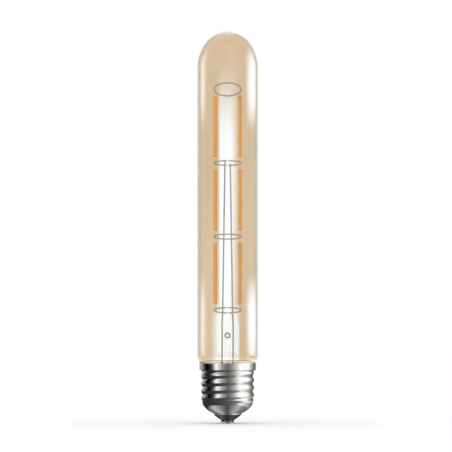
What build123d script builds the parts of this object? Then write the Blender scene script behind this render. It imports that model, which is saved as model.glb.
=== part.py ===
from build123d import *
import os
from math import acos, atan2, cos, degrees, radians, sin, sqrt

# Tubular LED filament bulb on a 27 mm screw cap, standing cap down.
# The origin is the tip of the centre contact, on the bulb's axis. +Z runs up to the crown
# of the glass, +X to the right, and -Y faces the viewer. All sizes are in millimetres.

# Glass envelope
overall_length = 191.5
glass_diameter = 29.5
glass_wall = 0.8
dome_height = 17.7
crown_step = 1.35  # the crown's radius is this much less than the tube's
shoulder_radius = 5.0
shoulder_turn = 50.0  # angle through which the shoulder rounds inwards
neck_depth = 14.0  # neck inside the cap, below the rim

# Screw shell, rolled from thin sheet
cap_height = 29.6  # contact tip to rim
rim_step = 0.95  # glass wall to rim
skirt_length = 3.4
skirt_cone = 0.6  # height of the cone between skirt and thread
shell_wall = 0.3
thread_crest = 26.4
thread_depth = 1.05
thread_length = 16.0
bowl_bulge = 0.5  # how far the bowl's middle stands out from a straight cone
mouth_diameter = 13.6
mouth_height = 4.3
lip_height = 0.6

# Insulator, contact and solder
insulator_end = 7.0
insulator_head = 16.4
insulator_top = 7.4
contact_diameter = 6.4
contact_thickness = 1.2
contact_edge = 0.4
eyelet_bore = 1.2
eyelet_wall = 0.35
eyelet_length = 1.1
solder_height = 0.5
solder_diameter = 3.0

# Cement between glass neck and shell
cement_thickness = 1.15
cement_margin = 2.0  # neck left bare below the cement
cement_recess = 0.4  # cement's top, below the rim

# Glass stem: flared tube, pressed at the top around the wires
stem_diameter = 10.8
stem_wall = 1.0
flare_height = 5.0
pinch_rise = 9.4  # rim to the foot of the flat pinch
pinch_height = 10.0
pinch_thickness = 3.6
pinch_spread = 0.2
pinch_edge = 0.8
press_length = 3.5
exhaust_diameter = 4.4
exhaust_wall = 0.8
exhaust_tip_rise = 3.0  # sealed tip above the neck's end
blow_hole = 1.3
blow_hole_rise = 4.0  # above the foot of the pinch
blow_rim = 0.95
blow_rim_height = 0.25

# Wires and rings that carry the filaments
wire_sides = 8
lead_wire = 0.7
lead_clearance = 0.15
lead_foot = 3.4  # wire's place on the board, from the axis
lead_foot_run = 3.0
lead_exit = 0.8
lead_run = 1.8  # straight wire each side of a weld
lead_end = 0.6  # wire's end above its last weld
lead_bow = 4.2  # distance from the axis, where a wire passes a link ring
lead_bend = 0.8
ring_radius = 6.6
ring_wire = 0.6
ring_gap = 0.7  # between the two halves of a feed ring
ring_rise = 6.3  # top of the pinch to the lowest ring
ring_tilt = 10.5
top_ring_tilt = 30.0
bottom_weld_angle = 24.0
upper_weld_angle = 13.0

# Filaments
tier_pitch = 36.0
coat_end_gap = 3.0  # phosphor's end to the ring
coat_width = 1.8
coat_depth = 1.6
coat_corner = 0.6
strip_width = 0.9
strip_thickness = 0.4
strip_bare_end = 1.2
tab_width = 0.8
tab_thickness = 0.4
tab_gap = 0.05  # half of the gap between two tabs on one ring

# Driver in the cap
board_length = 13.0
board_width = 12.4
board_corner = 1.0
board_thickness = 1.0
capacitor_diameter = 5.0
capacitor_height = 5.5
capacitor_edge = 0.3
capacitor_x = 3.9
capacitor_y = 3.6
bridge_length = 4.6
bridge_width = 3.8
bridge_height = 1.5
bridge_x = -3.8
bridge_y = 3.5
chip_length = 4.4
chip_width = 2.5
chip_height = 1.4
chip_x = -3.8
chip_y = -3.6
pin_width = 0.5
pin_length = 0.8
pin_thickness = 0.25
resistor_diameter = 2.2
resistor_length = 4.6
resistor_wire = 0.5
resistor_x = 3.0
resistor_y = -4.4
driver_wire = 0.6
shell_wire_foot = 5.2  # wire's place on the board, from the axis
shell_wire_rise = 1.6  # above the board and the bowl
wire_bend = 0.8

# Clearances
seat_gap = 0.1  # shell rim to glass, and a wire's end to the shell
seal_gap = 0.02  # round a sealed or bonded face
weld_gap = 0.06  # ring to the wire or tab that is welded to it

# Radii worked out from the sizes
glass_radius = glass_diameter / 2
glass_inside = glass_radius - glass_wall
thread_radius = (thread_crest - thread_depth) / 2
thread_inside = thread_radius - shell_wall
rim_radius = glass_radius - rim_step
rim_inside = rim_radius - shell_wall
mouth_radius = mouth_diameter / 2
mouth_inside = mouth_radius - shell_wall
neck_radius = thread_inside - cement_thickness
neck_inside = neck_radius - glass_wall
stem_radius = stem_diameter / 2
stem_inside = stem_radius - stem_wall
pinch_radius = stem_radius + pinch_spread
exhaust_radius = exhaust_diameter / 2
exhaust_inside = exhaust_radius - exhaust_wall
lead_radius = lead_wire / 2
lead_offset = exhaust_radius + lead_clearance + lead_radius
lead_corner = lead_radius / cos(radians(180 / wire_sides))
weld_radius = ring_radius - ring_wire / 2 - lead_corner - weld_gap
filament_offset = ring_radius - ring_wire / 2 - weld_gap - tab_thickness / 2

# Heights worked out from the sizes, from the contact's tip upwards
contact_top = solder_height + contact_thickness
lip_top = mouth_height + lip_height
skirt_end = cap_height - skirt_length
thread_top = skirt_end - skirt_cone
thread_end = skirt_end - thread_length
neck_end = cap_height - neck_depth
flare_top = neck_end + flare_height
pinch_foot = cap_height + pinch_rise
pinch_top = pinch_foot + pinch_height
press_foot = pinch_foot - press_length
exhaust_tip = neck_end + exhaust_tip_rise
exhaust_floor = exhaust_tip + exhaust_radius
hole_height = pinch_foot + blow_hole_rise
board_top = insulator_top + board_thickness
shell_wire_height = max(board_top, thread_end) + shell_wire_rise
strip_length = tier_pitch - 2 * (coat_end_gap - strip_bare_end)

# The dome is a crown arc and a larger side arc that meets the tube without a corner
dome_foot = overall_length - dome_height
crown_radius = glass_radius - crown_step
crown_height = overall_length - crown_radius
crown_lift = crown_height - dome_foot
side_radius = (glass_radius**2 + crown_lift**2 - crown_radius**2) / (2 * crown_step)
side_turn = degrees(atan2(crown_lift, side_radius - glass_radius))

# The shoulder stands just clear of the cap's rim, then a cone leads to the neck
rim_reach = max(rim_inside - (glass_radius - shoulder_radius), 0)
shoulder_top = cap_height + seat_gap + sqrt(max(shoulder_radius**2 - rim_reach**2, 0))
shoulder_end = glass_radius - shoulder_radius * (1 - cos(radians(shoulder_turn)))
shoulder_foot = shoulder_top - shoulder_radius * sin(radians(shoulder_turn))
neck_top = shoulder_foot - (shoulder_end - neck_radius)

# The bowl under the thread is two cones, and the insulator's head follows the lower one
bowl_chord = Vector(thread_radius - mouth_radius, thread_end - lip_top)
bowl_out = Vector(bowl_chord.Y, -bowl_chord.X).normalized()
bowl_break = Vector(mouth_radius, lip_top) + bowl_chord / 2 + bowl_out * bowl_bulge
lower_cone = bowl_break - Vector(mouth_radius, lip_top)

# Rings from the bottom up. Feed rings are split in two halves, and link rings are closed
ring_names = ["bottom_feed_ring", "lower_link_ring", "upper_feed_ring", "top_link_ring"]
ring_tilts = [ring_tilt, ring_tilt, ring_tilt, top_ring_tilt]
ring_heights = [pinch_top + ring_rise + tier_pitch * i for i in range(len(ring_names))]
bottom_feed = 0
upper_feed = 2
tier_names = ["bottom", "middle", "top"]
sides = [(-1, "left"), (1, "right")]


def bowl_seat(radius, inset):
    """Height of the bowl's lower cone at a distance from the axis, inset from its outer face."""
    rise = (radius - mouth_radius) * lower_cone.Y / lower_cone.X
    return lip_top + rise + inset * lower_cone.length / lower_cone.X


def ring_plane(index):
    """Plane of a ring, which leans about X so that its front is lower than its back."""
    lean = radians(ring_tilts[index])
    return Plane((0, 0, ring_heights[index]), x_dir=(1, 0, 0), z_dir=(0, -sin(lean), cos(lean)))


def section_plane(ring, angle):
    """Plane across a ring's wire, at an angle from the ring's own X."""
    outward = ring.x_dir * cos(radians(angle)) + ring.y_dir * sin(radians(angle))
    return Plane(ring.origin + outward * ring_radius, x_dir=outward, z_dir=outward.cross(ring.z_dir))


def weld_point(side, index, angle):
    """Where a lead wire passes a feed ring: the left wire at the back, the right one in front."""
    ring = ring_plane(index)
    across = ring.x_dir * (side * weld_radius * sin(radians(angle)))
    along = ring.y_dir * (-side * weld_radius * cos(radians(angle)))
    return ring.origin + across + along


def wire_section(diameter):
    """Section of a drawn wire, with a few flats and the full diameter across them."""
    RegularPolygon(diameter / 2, wire_sides, major_radius=False, rotation=180 / wire_sides)


os.makedirs("parts", exist_ok=True)

# Glass envelope: dome, tube, rounded shoulder and neck
with BuildPart() as glass_bulb:
    with BuildSketch(Plane.XZ):
        with BuildLine():
            for inset in (0, glass_wall):
                crown = crown_radius - inset
                flank = side_radius - inset
                tube = glass_radius - inset
                CenterArc((0, crown_height), crown, side_turn, 90 - side_turn)
                CenterArc((glass_radius - side_radius, dome_foot), flank, 0, side_turn)
                Line((tube, dome_foot), (tube, shoulder_top))
            CenterArc((glass_radius - shoulder_radius, shoulder_top), shoulder_radius, 0, -shoulder_turn)
            Polyline((shoulder_end, shoulder_foot), (neck_radius, neck_top), (neck_radius, neck_end))
            Line((neck_radius, neck_end), (neck_inside, neck_end))
            Polyline((neck_inside, neck_end), (neck_inside, neck_top), (glass_inside, shoulder_top))
            Line((0, overall_length), (0, overall_length - glass_wall))
        make_face()
    revolve(axis=Axis.Z)
glass_bulb.part.label = "glass_bulb"
export_step(glass_bulb.part, "parts/glass_bulb.step")

# Screw shell: one thin sheet from the mouth through bowl and threaded body to the rim
with BuildPart() as screw_shell:
    with BuildSketch(Plane.XZ):
        with BuildLine():
            Polyline(
                (mouth_radius, mouth_height),
                (mouth_radius, lip_top),
                (bowl_break.X, bowl_break.Y),
                (thread_radius, thread_end),
                (thread_radius, thread_top),
                (rim_radius, skirt_end),
                (rim_radius, cap_height),
            )
            offset(amount=shell_wall, kind=Kind.INTERSECTION, side=Side.LEFT)
        make_face()
    revolve(axis=Axis.Z)
screw_shell.part.label = "screw_shell"
export_step(screw_shell.part, "parts/screw_shell.step")

# Cement ring: fills the room between the neck and the shell, up to just below the rim
with BuildSketch(Plane.XZ) as neck_room:
    with BuildLine():
        Polyline((0, neck_end), (neck_radius, neck_end), (neck_radius, neck_top), (shoulder_end, shoulder_foot))
        CenterArc((glass_radius - shoulder_radius, shoulder_top), shoulder_radius, 0, -shoulder_turn)
        Polyline((glass_radius, shoulder_top), (0, shoulder_top), (0, neck_end))
    make_face()
    offset(amount=seal_gap, kind=Kind.INTERSECTION)

with BuildPart() as basing_cement:
    cement_foot = neck_end + cement_margin
    cement_top = cap_height - cement_recess
    skin = shell_wall + seal_gap
    with BuildSketch(Plane.XZ):
        with BuildLine():
            Polyline(
                (0, cement_foot - skin),
                (thread_radius, cement_foot - skin),
                (thread_radius, thread_top),
                (rim_radius, skirt_end),
                (rim_radius, cement_top + skin),
                (0, cement_top + skin),
                close=True,
            )
        make_face()
        offset(amount=-skin, kind=Kind.INTERSECTION)
        add(neck_room.sketch_local, mode=Mode.SUBTRACT)
    revolve(axis=Axis.Z)
basing_cement.part.label = "basing_cement"
export_step(basing_cement.part, "parts/basing_cement.step")

# Insulator: a black glass button that the shell's mouth grips
with BuildPart() as insulator:
    with BuildSketch(Plane.XZ):
        with BuildLine():
            bore = eyelet_bore / 2 + eyelet_wall + seal_gap
            head = insulator_head / 2
            grip = mouth_inside - seal_gap
            Polyline(
                (bore, contact_top),
                (insulator_end / 2, contact_top),
                (mouth_radius - seal_gap, mouth_height),
                (grip, mouth_height),
                (grip, bowl_seat(grip, shell_wall + seal_gap)),
                (head, bowl_seat(head, shell_wall + seal_gap)),
                (head, insulator_top),
                (bore, insulator_top),
                close=True,
            )
        make_face()
    revolve(axis=Axis.Z)
insulator.part.label = "insulator"
export_step(insulator.part, "parts/insulator.step")

# Centre contact: a disc with a hollow rivet through the insulator, and its drop of solder
with BuildPart() as centre_contact:
    with BuildSketch(Plane.XY.offset(solder_height)):
        Circle(contact_diameter / 2)
    extrude(amount=contact_thickness)
    chamfer(centre_contact.faces().sort_by(Axis.Z)[0].edges(), contact_edge)
    with BuildSketch(Plane.XY.offset(contact_top)):
        Circle(eyelet_bore / 2 + eyelet_wall)
    extrude(amount=eyelet_length)
    with BuildSketch(Plane.XY.offset(solder_height)):
        Circle(eyelet_bore / 2)
    extrude(amount=contact_thickness + eyelet_length, mode=Mode.SUBTRACT)
centre_contact.part.label = "centre_contact"
export_step(centre_contact.part, "parts/centre_contact.step")

with BuildPart() as contact_solder:
    with BuildSketch(Plane.XZ):
        with BuildLine():
            drop_radius = ((solder_diameter / 2) ** 2 + solder_height**2) / (2 * solder_height)
            drop = RadiusArc((0, 0), (solder_diameter / 2, solder_height), -drop_radius)
            Polyline(drop @ 1, (0, solder_height), (0, 0))
        make_face()
    revolve(axis=Axis.Z)
contact_solder.part.label = "contact_solder"
export_step(contact_solder.part, "parts/contact_solder.step")

# Glass stem: pressed pinch, flared tube, exhaust tube with its blown hole, and holes for the wires
with BuildPart() as glass_stem:
    with BuildSketch(Plane.XZ):
        with BuildLine():
            Polyline(
                (0, press_foot),
                (stem_radius, press_foot),
                (pinch_radius, pinch_foot),
                (pinch_radius, pinch_top),
                (0, pinch_top),
                close=True,
            )
        make_face()
    revolve(axis=Axis.Z)
    with BuildSketch(Plane.YZ):
        with BuildLine():
            half = pinch_thickness / 2
            Polyline((-stem_radius, press_foot), (-half, pinch_foot), (-half, pinch_top))
            Polyline((stem_radius, press_foot), (half, pinch_foot), (half, pinch_top))
            Line((-stem_radius, press_foot), (stem_radius, press_foot))
            Line((-half, pinch_top), (half, pinch_top))
        make_face()
    extrude(amount=pinch_radius, both=True, mode=Mode.INTERSECT)
    chamfer(glass_stem.faces().sort_by(Axis.Z)[-1].edges(), pinch_edge)
    with BuildSketch(Plane.XZ):
        with BuildLine():
            Polyline(
                (neck_radius, neck_end),
                (neck_inside, neck_end),
                (stem_radius, flare_top),
                (stem_radius, press_foot),
                (0, press_foot),
                (0, press_foot - stem_wall),
                (stem_inside, press_foot - stem_wall),
                (stem_inside, flare_top - stem_wall),
                (neck_inside, neck_end - stem_wall),
                (neck_radius, neck_end - stem_wall),
                close=True,
            )
        make_face()
    revolve(axis=Axis.Z)
    with BuildSketch(Plane.XZ):
        with BuildLine():
            Polyline(
                (0, exhaust_tip),
                (exhaust_radius, exhaust_floor),
                (exhaust_radius, press_foot),
                (0, press_foot),
                close=True,
            )
        make_face()
    revolve(axis=Axis.Z)
    with BuildSketch(Plane.XY.offset(exhaust_floor)):
        Circle(exhaust_inside)
    extrude(amount=hole_height - exhaust_floor, mode=Mode.SUBTRACT)
    rim_span = pinch_thickness / 2 + blow_rim_height
    with BuildSketch(Plane.XZ):
        with Locations((0, hole_height)):
            Circle(blow_hole / 2 + blow_rim)
    extrude(amount=rim_span, both=True)
    with BuildSketch(Plane.XZ):
        with Locations((0, hole_height)):
            Circle(blow_hole / 2)
    extrude(amount=rim_span, both=True, mode=Mode.SUBTRACT)
    with BuildSketch(Plane.XY.offset(pinch_top)):
        with Locations((-lead_offset, 0), (lead_offset, 0)):
            wire_section(lead_wire + 2 * seal_gap)
    extrude(amount=-(pinch_top - press_foot + stem_wall), mode=Mode.SUBTRACT)
glass_stem.part.label = "glass_stem"
export_step(glass_stem.part, "parts/glass_stem.step")

# Lead wires: up from the board, through the pinch and out to the two feed rings
for side, side_name in sides:
    low_weld = weld_point(side, bottom_feed, bottom_weld_angle)
    high_weld = weld_point(side, upper_feed, upper_weld_angle)
    passing = (low_weld + high_weld) / 2
    route = [
        Vector(side * lead_foot, 0, board_top),
        Vector(side * lead_foot, 0, board_top + lead_foot_run),
        Vector(side * lead_offset, 0, press_foot - lead_run),
        Vector(side * lead_offset, 0, pinch_top + lead_exit),
        low_weld - Vector(0, 0, lead_run),
        low_weld + Vector(0, 0, lead_run),
        Vector(passing.X, -side * lead_bow, passing.Z),
        high_weld - Vector(0, 0, lead_run),
        high_weld + Vector(0, 0, lead_end),
    ]
    with BuildPart() as lead:
        with BuildLine() as lead_path:
            FilletPolyline(*route, radius=lead_bend)
        with BuildSketch(Plane.XY.offset(board_top)):
            with Locations((side * lead_foot, 0)):
                wire_section(lead_wire)
        sweep(path=lead_path.line)
    lead.part.label = f"lead_wire_{side_name}"
    export_step(lead.part, f"parts/lead_wire_{side_name}.step")

# Rings of square wire
gap_angle = degrees(ring_gap / 2 / ring_radius)
closed = [("", -90, 360)]
halves = [
    ("_right", gap_angle - 90, 180 - 2 * gap_angle),
    ("_left", gap_angle + 90, 180 - 2 * gap_angle),
]
for index, ring_name in enumerate(ring_names):
    tilted = ring_plane(index)
    for suffix, start, arc in halves if index in (bottom_feed, upper_feed) else closed:
        with BuildPart() as ring:
            with BuildSketch(section_plane(tilted, start)):
                Rectangle(ring_wire, ring_wire)
            revolve(axis=Axis(tilted.origin, tilted.z_dir), revolution_arc=arc)
        ring.part.label = ring_name + suffix
        export_step(ring.part, f"parts/{ring_name}{suffix}.step")

# Filaments: phosphor coat, ceramic strip through it, and a metal tab at each end
for tier_name, foot in zip(tier_names, ring_heights):
    middle = foot + tier_pitch / 2
    for side, side_name in sides:
        centre = (side * filament_offset, 0)
        name = f"{tier_name}_{side_name}"
        with BuildPart() as coat:
            with BuildSketch(Plane.XY.offset(middle)):
                with Locations(centre):
                    RectangleRounded(coat_width, coat_depth, coat_corner)
                    Rectangle(strip_thickness, strip_width, mode=Mode.SUBTRACT)
            extrude(amount=tier_pitch / 2 - coat_end_gap, both=True)
        coat.part.label = f"{name}_phosphor"
        export_step(coat.part, f"parts/{name}_phosphor.step")
        with BuildPart() as strip:
            with BuildSketch(Plane.XY.offset(middle)):
                with Locations(centre):
                    Rectangle(strip_thickness, strip_width)
            extrude(amount=strip_length / 2, both=True)
        strip.part.label = f"{name}_strip"
        export_step(strip.part, f"parts/{name}_strip.step")
        for end, end_name in ((-1, "lower"), (1, "upper")):
            with BuildPart() as tab:
                with BuildSketch(Plane.XY.offset(middle + end * strip_length / 2)):
                    with Locations(centre):
                        Rectangle(tab_thickness, tab_width)
                extrude(amount=end * (coat_end_gap - strip_bare_end - tab_gap))
            tab.part.label = f"{name}_{end_name}_tab"
            export_step(tab.part, f"parts/{name}_{end_name}_tab.step")

# Driver board, resting on the insulator
with BuildPart() as driver_board:
    with BuildSketch(Plane.XY.offset(insulator_top)):
        board_outline = Rectangle(board_length, board_width)
        chamfer(board_outline.vertices(), board_corner)
    extrude(amount=board_thickness)
driver_board.part.label = "driver_board"
export_step(driver_board.part, "parts/driver_board.step")

with BuildPart() as smoothing_capacitor:
    with BuildSketch(Plane.XY.offset(board_top)):
        with Locations((capacitor_x, capacitor_y)):
            Circle(capacitor_diameter / 2)
    extrude(amount=capacitor_height)
    chamfer(smoothing_capacitor.faces().sort_by(Axis.Z)[-1].edges(), capacitor_edge)
smoothing_capacitor.part.label = "smoothing_capacitor"
export_step(smoothing_capacitor.part, "parts/smoothing_capacitor.step")


def chip_package(x, y, length, width, height):
    """A moulded package on the board, with two flat pins on each long side."""
    with BuildPart() as package:
        with BuildSketch(Plane.XY.offset(board_top)):
            with Locations((x, y)):
                Rectangle(length, width)
        extrude(amount=height)
        chamfer(package.faces().sort_by(Axis.Z)[-1].edges(), pin_thickness)
        with BuildSketch(Plane.XY.offset(board_top)):
            with Locations((x, y)):
                with GridLocations(length / 2, 0, 2, 1):
                    Rectangle(pin_width, width + 2 * pin_length)
        extrude(amount=pin_thickness)
    return package.part


bridge_rectifier = chip_package(bridge_x, bridge_y, bridge_length, bridge_width, bridge_height)
bridge_rectifier.label = "bridge_rectifier"
export_step(bridge_rectifier, "parts/bridge_rectifier.step")

driver_chip = chip_package(chip_x, chip_y, chip_length, chip_width, chip_height)
driver_chip.label = "driver_chip"
export_step(driver_chip, "parts/driver_chip.step")

# Fusible resistor, lying on the board with its wires bent down
with BuildPart() as fuse_resistor:
    axis_height = board_top + resistor_diameter / 2
    reach = resistor_length / 2 + wire_bend
    with BuildSketch(Plane.YZ.offset(resistor_x)):
        with Locations((resistor_y, axis_height)):
            Circle(resistor_diameter / 2)
    extrude(amount=resistor_length / 2, both=True)
    with BuildSketch(Plane.YZ.offset(resistor_x)):
        with Locations((resistor_y, axis_height)):
            wire_section(resistor_wire)
    extrude(amount=reach, both=True)
    with BuildSketch(Plane.XY.offset(board_top)):
        with Locations((resistor_x - reach, resistor_y), (resistor_x + reach, resistor_y)):
            wire_section(resistor_wire)
    extrude(amount=axis_height - board_top + resistor_wire / 2)
fuse_resistor.part.label = "fuse_resistor"
export_step(fuse_resistor.part, "parts/fuse_resistor.step")

# Wires from the board to the centre contact and to the shell
with BuildPart() as contact_wire:
    with BuildSketch(Plane.XY.offset(solder_height)):
        wire_section(driver_wire)
    extrude(amount=insulator_top - solder_height)
contact_wire.part.label = "contact_wire"
export_step(contact_wire.part, "parts/contact_wire.step")

with BuildPart() as shell_wire:
    with BuildLine() as shell_wire_path:
        FilletPolyline(
            (0, shell_wire_foot, board_top),
            (0, shell_wire_foot, shell_wire_height),
            (0, thread_inside - seat_gap, shell_wire_height),
            radius=wire_bend,
        )
    with BuildSketch(Plane.XY.offset(board_top)):
        with Locations((0, shell_wire_foot)):
            wire_section(driver_wire)
    sweep(path=shell_wire_path.line)
shell_wire.part.label = "shell_wire"
export_step(shell_wire.part, "parts/shell_wire.step")
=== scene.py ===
import math

import bmesh
import bpy
from mathutils import Matrix, Vector


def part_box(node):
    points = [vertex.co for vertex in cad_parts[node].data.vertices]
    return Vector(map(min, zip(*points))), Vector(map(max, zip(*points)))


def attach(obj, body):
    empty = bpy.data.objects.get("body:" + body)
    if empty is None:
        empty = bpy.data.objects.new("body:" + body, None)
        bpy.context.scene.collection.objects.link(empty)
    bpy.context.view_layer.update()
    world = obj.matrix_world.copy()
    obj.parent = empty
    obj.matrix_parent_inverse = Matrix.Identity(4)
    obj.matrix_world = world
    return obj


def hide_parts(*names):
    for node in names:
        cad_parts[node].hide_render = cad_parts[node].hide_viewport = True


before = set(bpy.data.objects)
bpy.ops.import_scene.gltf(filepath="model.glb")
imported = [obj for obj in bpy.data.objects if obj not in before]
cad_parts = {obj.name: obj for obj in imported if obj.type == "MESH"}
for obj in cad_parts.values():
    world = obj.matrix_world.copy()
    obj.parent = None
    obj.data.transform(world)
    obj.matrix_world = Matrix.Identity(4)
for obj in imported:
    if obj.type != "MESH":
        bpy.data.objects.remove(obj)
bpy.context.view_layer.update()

mm = 0.001
fullTurn = 2 * math.pi
samePoint = 0.001 * mm  # points nearer than this are merged
tiers = ("bottom", "middle", "top")
sides = {"left": -1, "right": 1}


# Outlines and pieces

class Outline:  # half of a section in the XZ plane, drawn as a pen goes
    def __init__(self, x, z):
        self.bm = bmesh.new()
        self.first = self.bm.verts.new((x, 0, z))
        self.tip = self.first

    def line(self, x, z, runs=1):
        start, end = self.tip.co.copy(), Vector((x, 0, z))
        for step in range(1, runs + 1):
            self.tip = bmesh.ops.extrude_vert_indiv(self.bm, verts=[self.tip])["verts"][0]
            self.tip.co = start.lerp(end, step / runs)
        return self

    def arc(self, x, z, turn, steps):  # about (x, z), anticlockwise as the front view shows it
        spun = bmesh.ops.spin(
            self.bm, geom=[self.tip], cent=(x, 0, z), axis=(0, -1, 0), angle=math.radians(turn), steps=steps,
        )
        self.tip = spun["geom_last"][0]
        return self

    def bow(self, x, z, height, steps):  # an arc that stands out by height, to the right of its way
        start, end = self.tip.co.copy(), Vector((x, 0, z))
        chord = end - start
        aside = Vector((chord.z, 0, -chord.x)).normalized()
        radius = (chord.length_squared / 4 + height**2) / (2 * height)
        centre = (start + end) / 2 - aside * (radius - height)
        turn = 2 * math.degrees(math.asin(chord.length / 2 / radius))
        return self.arc(centre.x, centre.z, turn, steps)

    def close(self):
        self.bm.edges.new((self.tip, self.first))
        return self

    def turned(self, columns):
        bm = self.bm
        bmesh.ops.spin(
            bm, geom=bm.verts[:] + bm.edges[:], cent=(0, 0, 0), axis=(0, 0, 1),
            angle=fullTurn, steps=columns, use_merge=True,
        )
        return mended(bm)


def mended(bm):  # seams and poles closed, and faces turned outwards
    bmesh.ops.remove_doubles(bm, verts=bm.verts[:], dist=samePoint)
    bmesh.ops.recalc_face_normals(bm, faces=bm.faces[:])
    return bm


wire = {"sides": 14, "ringSteps": 96, "bevelSteps": 3, "bendSteps": 5, "sharp": 50}


def wireRing(centre, right, back, radius, thickness, start=0.0, turn=fullTurn):  # a closed ring, or an arc
    axis = right.cross(back)
    outward = right * math.cos(start) + back * math.sin(start)
    lay = Matrix((outward, axis, outward.cross(axis))).transposed().to_4x4()
    bm = bmesh.new()
    bmesh.ops.create_circle(bm, segments=wire["sides"], radius=thickness / 2)
    bmesh.ops.transform(bm, matrix=Matrix.Translation(centre + outward * radius) @ lay, verts=bm.verts[:])
    bmesh.ops.spin(
        bm, geom=bm.verts[:] + bm.edges[:], cent=centre, axis=axis, angle=turn,
        steps=round(wire["ringSteps"] * turn / fullTurn), use_merge=turn == fullTurn,
    )
    ends = [edge for edge in bm.edges if edge.is_boundary]
    if ends:
        bmesh.ops.holes_fill(bm, edges=ends)
    return mended(bm)


def smoothStep(low, high, value):
    part = min(max((value - low) / (high - low), 0), 1)
    return part * part * (3 - 2 * part)


def meshObject(name, bm, material=None):
    mesh = bpy.data.meshes.new(name)
    bm.to_mesh(mesh)
    bm.free()
    if material:
        mesh.materials.append(material)
    obj = bpy.data.objects.new(name, mesh)
    bpy.context.scene.collection.objects.link(obj)
    return obj


def smoothed(mesh, sharp):  # edges that turn by more than sharp stay crisp
    mesh.shade_smooth()
    mesh.set_sharp_from_angle(angle=math.radians(sharp))


def addPiece(name, bm, slot, replaced=(), sharp=35, finish=None):  # the finish is the slot's, unless given
    obj = meshObject(name, bm, finishes[finish or slot])
    smoothed(obj.data, sharp)
    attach(obj, "root")
    if replaced:
        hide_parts(*replaced)
    return obj


def dress(node, finish):  # a CAD node that stays, with a better finish
    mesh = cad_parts[node].data
    mesh.materials.clear()
    mesh.materials.append(finishes[finish])


# Shader maths

class Shade:  # a socket, with sums on it written as plain expressions
    def __init__(self, tree, socket=None):
        self.tree = tree
        self.socket = socket

    def node(self, kind, settings=None, sockets=None, out=0):
        made = self.tree.nodes.new("ShaderNode" + kind)
        for key, value in (settings or {}).items():
            if key == "stops":
                self.fillRamp(made.color_ramp, value)
            else:
                setattr(made, key, value)
        for key, value in (sockets or {}).items():
            if isinstance(value, Shade):
                self.tree.links.new(value.socket, made.inputs[key])
            else:
                made.inputs[key].default_value = value
        return Shade(self.tree, made.outputs[out] if made.outputs else None)

    def fillRamp(self, ramp, stops):
        ends = (ramp.elements[0], ramp.elements[1])
        for element, (place, colour) in zip(ends, (stops[0], stops[-1])):
            element.position = place
            element.color = (*colour, 1)
        for place, colour in stops[1:-1]:
            ramp.elements.new(place).color = (*colour, 1)

    def other(self, name):  # another output of the same node
        return Shade(self.tree, self.socket.node.outputs[name])

    def sum(self, operation, a, b=0.0):
        return self.node("Math", {"operation": operation}, {0: a, 1: b})

    def __add__(self, b):
        return self.sum("ADD", self, b)

    def __radd__(self, b):
        return self.sum("ADD", b, self)

    def __sub__(self, b):
        return self.sum("SUBTRACT", self, b)

    def __rsub__(self, b):
        return self.sum("SUBTRACT", b, self)

    def __mul__(self, b):
        return self.sum("MULTIPLY", self, b)

    def __rmul__(self, b):
        return self.sum("MULTIPLY", b, self)

    def __truediv__(self, b):
        return self.sum("DIVIDE", self, b)

    def __lt__(self, b):
        return self.sum("LESS_THAN", self, b)

    def step(self, low, high):  # 0 below low, 1 above high, smooth between
        sockets = {"Value": self, "From Min": low, "From Max": high}
        return self.node("MapRange", {"interpolation_type": "SMOOTHSTEP"}, sockets)

    def blend(self, a, b):  # colour a where the socket is 0, and b where it is 1
        mixed = self.node("Mix", {"data_type": "RGBA"})
        for place, colour in ((6, a), (7, b)):  # the node's two colour sockets
            if isinstance(colour, Shade):
                self.tree.links.new(colour.socket, mixed.socket.node.inputs[place])
            else:
                mixed.socket.node.inputs[place].default_value = (*colour, 1)
        self.tree.links.new(self.socket, mixed.socket.node.inputs[0])
        return mixed.other(2)  # its colour output


def startMaterial(name):
    material = bpy.data.materials.new(name)
    material.use_nodes = True
    material.node_tree.nodes.clear()
    return material, Shade(material.node_tree)


def objectPlace(g):
    return g.node("TexCoord", out="Object")


def noise(g, place, scale, detail, stretch=(1, 1, 1), roughness=0.5):
    mapped = g.node("Mapping", None, {"Vector": place, "Scale": stretch})
    sockets = {"Vector": mapped, "Scale": scale, "Detail": detail, "Roughness": roughness}
    return g.node("TexNoise", None, sockets)


def finishMaterial(g, sockets, bump, strength, distance=0.1 * mm):
    sockets["Normal"] = g.node("Bump", None, {"Strength": strength, "Distance": distance, "Height": bump})
    surface = g.node("BsdfPrincipled", None, sockets)
    g.node("OutputMaterial", None, {"Surface": surface})


# Finishes

amber = {"thin": (0.825, 0.725, 0.58), "thick": (0.787, 0.677, 0.522), "ior": 1.47, "ripple": 0.03}


def amberGlass():
    material, g = startMaterial("amber glass")
    place = objectPlace(g)
    cloud = noise(g, place, scale=60, detail=2, stretch=(1, 1, 0.25))
    ripple = noise(g, place, scale=120, detail=1, stretch=(1, 1, 0.05))
    finishMaterial(g, {
        "Base Color": cloud.step(0.3, 0.7).blend(amber["thin"], amber["thick"]),
        "Roughness": 0.0,
        "IOR": amber["ior"],
        "Transmission Weight": 1.0,
    }, ripple, strength=amber["ripple"])
    return material


clear = {
    "thin": (0.995, 0.995, 0.99), "thick": (0.98, 0.985, 0.975), "gloss": 0.15, "glossIor": 1.5,
    "ior": 1.008,  # low, so that the wires sealed in it stay straight to the eye
}


def clearGlass():
    material, g = startMaterial("clear glass")
    flow = noise(g, objectPlace(g), scale=350, detail=2, stretch=(1, 1, 0.2))
    finishMaterial(g, {
        "Base Color": flow.step(0.2, 0.8).blend(clear["thin"], clear["thick"]),
        "Roughness": 0.0,
        "IOR": clear["ior"],
        "Transmission Weight": 1.0,
        "Coat Weight": clear["gloss"],
        "Coat IOR": clear["glossIor"],
    }, flow, strength=0.05)
    return material


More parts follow.
